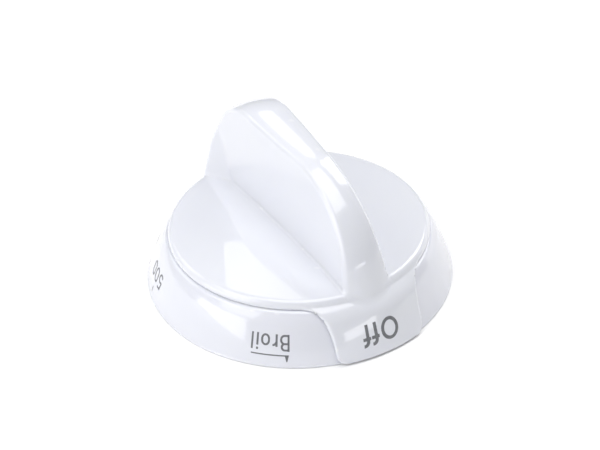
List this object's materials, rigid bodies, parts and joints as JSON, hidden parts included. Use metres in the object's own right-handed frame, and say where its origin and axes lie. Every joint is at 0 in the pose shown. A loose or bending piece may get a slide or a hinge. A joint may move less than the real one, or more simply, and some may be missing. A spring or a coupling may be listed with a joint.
{
  "type": "oven thermostat knob",
  "caption": "Round appliance knob: a front disc with a tall grip fin and an Off pad, a sloped dial skirt that turns under it for calibration, and a clamp plate behind.",
  "frame": {"origin": "centre of the foot plane of the knob, where it faces the appliance's panel", "axes": "+Z from the panel to the user along the shaft, +Y along the grip from its near end over the Off pad (at -Y) to its far end, +X to the right of someone who looks from the pad's side"},
  "size_m": [0.07, 0.0709, 0.0367],
  "materials": {
    "front_plastic": "gloss",
    "skirt_plastic": "gloss",
    "plate_steel": "zinc plated",
    "screw_steel": "zinc plated",
    "spring_steel": "oiled"
  },
  "bodies": {
    "handle": {"front": "front_plastic", "clamp_plate": "plate_steel", "screw_left": "screw_steel", "screw_right": "screw_steel", "shaft_clip": "spring_steel"},
    "dial": {"dial_skirt": "skirt_plastic"}
  },
  "joints": [
    {"name": "dial_adjust", "type": "hinge", "parent": "handle", "child": "dial", "pos_m": [0, 0, 0.0075], "axis": [0, 0, 1], "range_deg": [-15, 15]}
  ]
}
